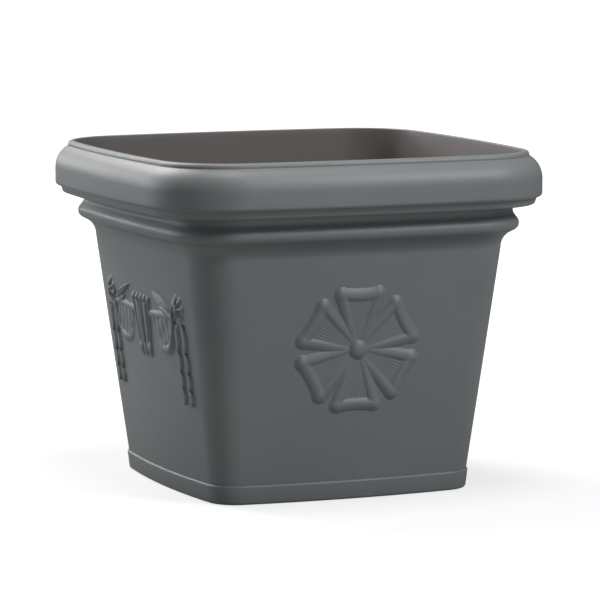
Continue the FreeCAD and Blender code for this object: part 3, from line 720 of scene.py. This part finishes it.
def mould_grain():
    """Node group: fine moulded grain and broad mottling from a position."""
    name = "mould_grain"
    if name in bpy.data.node_groups:
        return bpy.data.node_groups[name]
    group = bpy.data.node_groups.new(name, "ShaderNodeTree")
    face = group.interface
    face.new_socket("Position", in_out="INPUT", socket_type="NodeSocketVector")
    grain = face.new_socket("Grain scale", in_out="INPUT", socket_type="NodeSocketFloat")
    grain.default_value = 900.0
    mottle = face.new_socket("Mottle scale", in_out="INPUT", socket_type="NodeSocketFloat")
    mottle.default_value = 14.0
    face.new_socket("Grain", in_out="OUTPUT", socket_type="NodeSocketFloat")
    face.new_socket("Mottle", in_out="OUTPUT", socket_type="NodeSocketFloat")
    nodes, links = group.nodes, group.links
    entry = nodes.new("NodeGroupInput")
    leave = nodes.new("NodeGroupOutput")
    for label, detail in (("Grain", 4.0), ("Mottle", 3.0)):
        noise = nodes.new("ShaderNodeTexNoise")
        noise.inputs["Detail"].default_value = detail
        links.new(entry.outputs["Position"], noise.inputs["Vector"])
        links.new(entry.outputs[label + " scale"], noise.inputs["Scale"])
        links.new(noise.outputs["Fac"], leave.inputs[label])
    return group


def moulded_material(name, base, pale, roughness, grain_scale, bump, spread):
    """Moulded plastic or rubber: two close tones mixed by mottling, a fine grain in bump and roughness."""
    material = bpy.data.materials.new(name)
    material.use_nodes = True
    nodes, links = material.node_tree.nodes, material.node_tree.links
    shader = nodes["Principled BSDF"]
    where = nodes.new("ShaderNodeTexCoord")
    grain = nodes.new("ShaderNodeGroup")
    grain.node_tree = mould_grain()
    grain.inputs["Grain scale"].default_value = grain_scale
    links.new(where.outputs["Object"], grain.inputs["Position"])
    tone = nodes.new("ShaderNodeValToRGB")
    tone.color_ramp.elements[0].position = 0.5 - spread
    tone.color_ramp.elements[1].position = 0.5 + spread
    tone.color_ramp.elements[0].color = (*base, 1.0)
    tone.color_ramp.elements[1].color = (*pale, 1.0)
    links.new(grain.outputs["Mottle"], tone.inputs["Fac"])
    links.new(tone.outputs["Color"], shader.inputs["Base Color"])
    rough = nodes.new("ShaderNodeMapRange")
    rough.inputs["To Min"].default_value = roughness - 0.06
    rough.inputs["To Max"].default_value = roughness + 0.06
    links.new(grain.outputs["Grain"], rough.inputs["Value"])
    links.new(rough.outputs["Result"], shader.inputs["Roughness"])
    relief = nodes.new("ShaderNodeBump")
    relief.inputs["Strength"].default_value = 0.35
    relief.inputs["Distance"].default_value = bump
    links.new(grain.outputs["Grain"], relief.inputs["Height"])
    links.new(relief.outputs["Normal"], shader.inputs["Normal"])
    return material


def pot_material():
    """Anthracite plastic with a fine moulded grain; where a point is marked inside, weaker reflections and a
    darker, warmer colour that is painted shade and painted warm light.
    """
    finish = bpy.context.scene.planter_finish
    name = "anthracite_plastic"
    if name in bpy.data.materials:
        return bpy.data.materials[name]
    material = moulded_material(name, finish.pot, finish.pot_pale, finish.pot_roughness,
                                grain_scale=1100.0, bump=0.12 * MM, spread=0.32)
    nodes, links = material.node_tree.nodes, material.node_tree.links
    tone = next(node for node in nodes if node.bl_idname == "ShaderNodeValToRGB")
    inside = nodes.new("ShaderNodeAttribute")
    inside.attribute_name = "inside"
    both = nodes.new("ShaderNodeMix")
    both.data_type = "RGBA"
    links.new(inside.outputs["Fac"], both.inputs["Factor"])
    links.new(tone.outputs["Color"], both.inputs["A"])
    # Painted shade: the inner faces get a darker, warmer colour than the outer plastic, standing in for the
    # shade and warm light inside the pot.
    both.inputs["B"].default_value = (*finish.pot_inside_shade, 1.0)
    shader = nodes["Principled BSDF"]
    links.new(both.outputs["Result"], shader.inputs["Base Color"])
    gloss = nodes.new("ShaderNodeMapRange")
    gloss.inputs["To Min"].default_value = shader.inputs["Specular IOR Level"].default_value
    gloss.inputs["To Max"].default_value = finish.inside_gloss
    links.new(inside.outputs["Fac"], gloss.inputs["Value"])
    links.new(gloss.outputs["Result"], shader.inputs["Specular IOR Level"])
    return material


# Stage

FLOOR_HALF = 30.0
FLOOR_GAP = 0.2 * MM  # keeps the floor clear of the foot ring's face
GLOW_REACH = (0.3, 1.5)  # distances from the planter between which the floor is lifted to white
GLOW = (0.68, 1.0)  # the lift at those distances
AMBIENT = 0.12
Lamp = namedtuple("Lamp", "name place size power tint")
LAMP_AIM = (0.0, 0.0, 0.17)
LAMPS = (
    Lamp("back_lamp", place=(-1.0, 2.3, 2.6), size=1.6, power=132.0, tint=(1.0, 0.93, 0.9)),
    Lamp("low_back_lamp", place=(-1.1, 3.1, 0.85), size=0.6, power=15.0, tint=(1.0, 0.98, 0.97)),
    Lamp("left_lamp", place=(-2.1, 1.6, 0.8), size=0.9, power=22.5, tint=(0.78, 0.93, 1.0)),
    Lamp("top_lamp", place=(0.0, -0.5, 3.0), size=1.2, power=55.0, tint=(1.0, 0.97, 0.95)),
    Lamp("right_lamp", place=(1.5, -2.2, 2.2), size=0.9, power=65.0, tint=(0.97, 0.99, 1.0)),
    Lamp("fill_lamp", place=(0.6, -3.0, 0.5), size=0.8, power=10.0, tint=(0.95, 0.98, 1.0)),
)


def make_floor(stage):
    """A wide pale floor that keeps the shadow and is lifted to white for the camera."""
    half, low = FLOOR_HALF, -FLOOR_GAP
    corners = [(-half, -half, low), (half, -half, low), (half, half, low), (-half, half, low)]
    mesh = bpy.data.meshes.new("floor")
    mesh.from_pydata(corners, [], [(0, 1, 2, 3)])
    floor = bpy.data.objects.new("floor", mesh)
    bpy.context.scene.collection.objects.link(floor)
    material = bpy.data.materials.new("pale_floor")
    material.use_nodes = True
    nodes, links = material.node_tree.nodes, material.node_tree.links
    shader = nodes["Principled BSDF"]
    shader.inputs["Base Color"].default_value = (*stage.floor, 1.0)
    shader.inputs["Roughness"].default_value = 0.9
    shader.inputs["Specular IOR Level"].default_value = 0.0
    where = nodes.new("ShaderNodeTexCoord")
    away = nodes.new("ShaderNodeVectorMath")
    away.operation = "LENGTH"
    links.new(where.outputs["Object"], away.inputs[0])
    fade = nodes.new("ShaderNodeMapRange")
    fade.inputs["From Min"].default_value, fade.inputs["From Max"].default_value = GLOW_REACH
    fade.inputs["To Min"].default_value, fade.inputs["To Max"].default_value = GLOW
    links.new(away.outputs["Value"], fade.inputs["Value"])
    lift = nodes.new("ShaderNodeMath")
    lift.operation = "MULTIPLY"
    links.new(fade.outputs["Result"], lift.inputs[0])
    path = nodes.new("ShaderNodeLightPath")
    links.new(path.outputs["Is Camera Ray"], lift.inputs[1])
    glow = nodes.new("ShaderNodeEmission")
    links.new(lift.outputs["Value"], glow.inputs["Strength"])
    both = nodes.new("ShaderNodeAddShader")
    links.new(shader.outputs["BSDF"], both.inputs[0])
    links.new(glow.outputs["Emission"], both.inputs[1])
    links.new(both.outputs["Shader"], nodes["Material Output"].inputs["Surface"])
    mesh.materials.append(material)


def make_world(scene):
    """White where it is seen, and a soft grey light elsewhere."""
    world = bpy.data.worlds.new("studio")
    world.use_nodes = True
    scene.world = world
    nodes, links = world.node_tree.nodes, world.node_tree.links
    back = nodes["Background"]
    back.inputs["Color"].default_value = (1.0, 1.0, 1.0, 1.0)
    level = nodes.new("ShaderNodeMapRange")
    level.inputs["To Min"].default_value = AMBIENT
    level.inputs["To Max"].default_value = 1.0
    path = nodes.new("ShaderNodeLightPath")
    links.new(path.outputs["Is Camera Ray"], level.inputs["Value"])
    links.new(level.outputs["Result"], back.inputs["Strength"])


def make_lamps(scene):
    """Square soft lamps, each pointing at the planter's middle."""
    for lamp in LAMPS:
        data = bpy.data.lights.new(lamp.name, "AREA")
        data.size = lamp.size
        data.energy = lamp.power
        data.color = lamp.tint
        place = Vector(lamp.place)
        turn = (Vector(LAMP_AIM) - place).to_track_quat("-Z", "Y").to_matrix().to_4x4()
        holder = bpy.data.objects.new(lamp.name, data)
        holder.matrix_world = Matrix.Translation(place) @ turn
        scene.collection.objects.link(holder)


def make_camera(scene, stage):
    """A long lens on the planter: back along azimuth and elevation from the point aimed at."""
    turn, rise = stage.azimuth, stage.elevation
    right = Vector((math.cos(turn), math.sin(turn), 0.0))
    back = Vector((math.sin(turn) * math.cos(rise), -math.cos(turn) * math.cos(rise), math.sin(rise)))
    up = back.cross(right)
    aim = right * stage.aim_right + Vector((0.0, 0.0, stage.aim_height))
    data = bpy.data.cameras.new("camera")
    data.angle = stage.view_angle
    data.clip_end = 100.0
    camera = bpy.data.objects.new("camera", data)
    pose = Matrix((right, up, back)).transposed().to_4x4()
    roll = Matrix.Rotation(stage.roll, 4, "Z")
    camera.matrix_world = Matrix.Translation(aim + back * stage.distance) @ pose @ roll
    scene.collection.objects.link(camera)
    scene.camera = camera


# Operators, one for each piece or group of like pieces

class PLANTER_OT_pot(Operator):
    """Mould the pot: skin, floor with its drains, and ribs"""

    bl_idname = "planter.pot"
    bl_label = "Pot"

    def execute(self, context):
        sizes = context.scene.planter_pot
        skin = pot_skin(sizes)
        sheets = [sheet(skin, True)]
        sheets += [floor_quarter(sizes, skin[0], skin[-1], quarter) for quarter in range(4)]
        sheets += [floor_rib(sizes, turn) for turn in range(2)]
        piece = weld("pot_moulding", sheets, pot_material(), 30.0)
        mark_inside(piece.data, sizes)
        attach(piece, BODY_OF_POT)
        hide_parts("pot_shell")
        return {"FINISHED"}


class PLANTER_OT_rosettes(Operator):
    """Raise the rosettes on the front and back walls"""

    bl_idname = "planter.rosettes"
    bl_label = "Rosettes"

    def execute(self, context):
        scene = context.scene
        for name, quarter in (("rosette_front", 0), ("rosette_back", 2)):
            sheets = rosette_sheets(scene.planter_pot, scene.planter_rosette, quarter)
            piece = weld(name, sheets, pot_material(), RELIEF_CREASE)
            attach(piece, BODY_OF_POT)
        return {"FINISHED"}


class PLANTER_OT_festoons(Operator):
    """Raise the festoons on the left and right walls"""

    bl_idname = "planter.festoons"
    bl_label = "Festoons"

    def execute(self, context):
        scene = context.scene
        for name, quarter in (("festoon_right", 1), ("festoon_left", 3)):
            sheets = festoon_sheets(scene.planter_pot, scene.planter_festoon, quarter)
            piece = weld(name, sheets, pot_material(), RELIEF_CREASE)
            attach(piece, BODY_OF_POT)
        return {"FINISHED"}


class PLANTER_OT_inner_finish(Operator):
    """Finish the grid, its legs and the drain plugs, which keep their frame shapes"""

    bl_idname = "planter.inner_finish"
    bl_label = "Grid, legs and plugs"

    def execute(self, context):
        finish = context.scene.planter_finish
        grid_pale = tuple(1.5 * part for part in finish.grid)
        plug_pale = tuple(1.4 * part for part in finish.plug)
        grid = moulded_material("grid_plastic", finish.grid, grid_pale, finish.grid_roughness,
                                grain_scale=1500.0, bump=0.1 * MM, spread=0.3)
        plug = moulded_material("plug_rubber", finish.plug, plug_pale, finish.plug_roughness,
                                grain_scale=2200.0, bump=0.08 * MM, spread=0.3)
        for name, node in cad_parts.items():
            if name == "pot_shell":
                continue
            material = plug if name.startswith("drain_plug") else grid
            for place in node.material_slots:
                place.material = material
        return {"FINISHED"}


class PLANTER_OT_stage(Operator):
    """Set the floor, world, lamps and camera"""

    bl_idname = "planter.stage"
    bl_label = "Stage"

    def execute(self, context):
        scene = context.scene
        scene.view_settings.view_transform = "Standard"
        make_floor(scene.planter_stage)
        make_world(scene)
        make_lamps(scene)
        make_camera(scene, scene.planter_stage)
        return {"FINISHED"}


class PLANTER_PT_panel(Panel):
    """Lists the planter's pieces and the stage"""

    bl_label = "Planter"
    bl_idname = "PLANTER_PT_panel"
    bl_space_type = "VIEW_3D"
    bl_region_type = "UI"
    bl_category = "Planter"

    def draw(self, context):
        for operator in OPERATORS:
            self.layout.operator(operator.bl_idname)


OPERATORS = (PLANTER_OT_pot, PLANTER_OT_rosettes, PLANTER_OT_festoons, PLANTER_OT_inner_finish,
             PLANTER_OT_stage)
GROUPS = {
    "planter_pot": PotSizes,
    "planter_rosette": RosetteSizes,
    "planter_festoon": FestoonSizes,
    "planter_finish": Finish,
    "planter_stage": StageSizes,
}


def register():
    for group in GROUPS.values():
        bpy.utils.register_class(group)
    for name, group in GROUPS.items():
        setattr(bpy.types.Scene, name, PointerProperty(type=group))
    for cls in OPERATORS:
        bpy.utils.register_class(cls)
    bpy.utils.register_class(PLANTER_PT_panel)


def unregister():
    bpy.utils.unregister_class(PLANTER_PT_panel)
    for cls in reversed(OPERATORS):
        bpy.utils.unregister_class(cls)
    for name, group in GROUPS.items():
        delattr(bpy.types.Scene, name)
        bpy.utils.unregister_class(group)


def main():
    """Registers the classes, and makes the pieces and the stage."""
    register()
    bpy.ops.planter.pot()
    bpy.ops.planter.rosettes()
    bpy.ops.planter.festoons()
    bpy.ops.planter.inner_finish()
    bpy.ops.planter.stage()


if __name__ == "__main__":
    main()
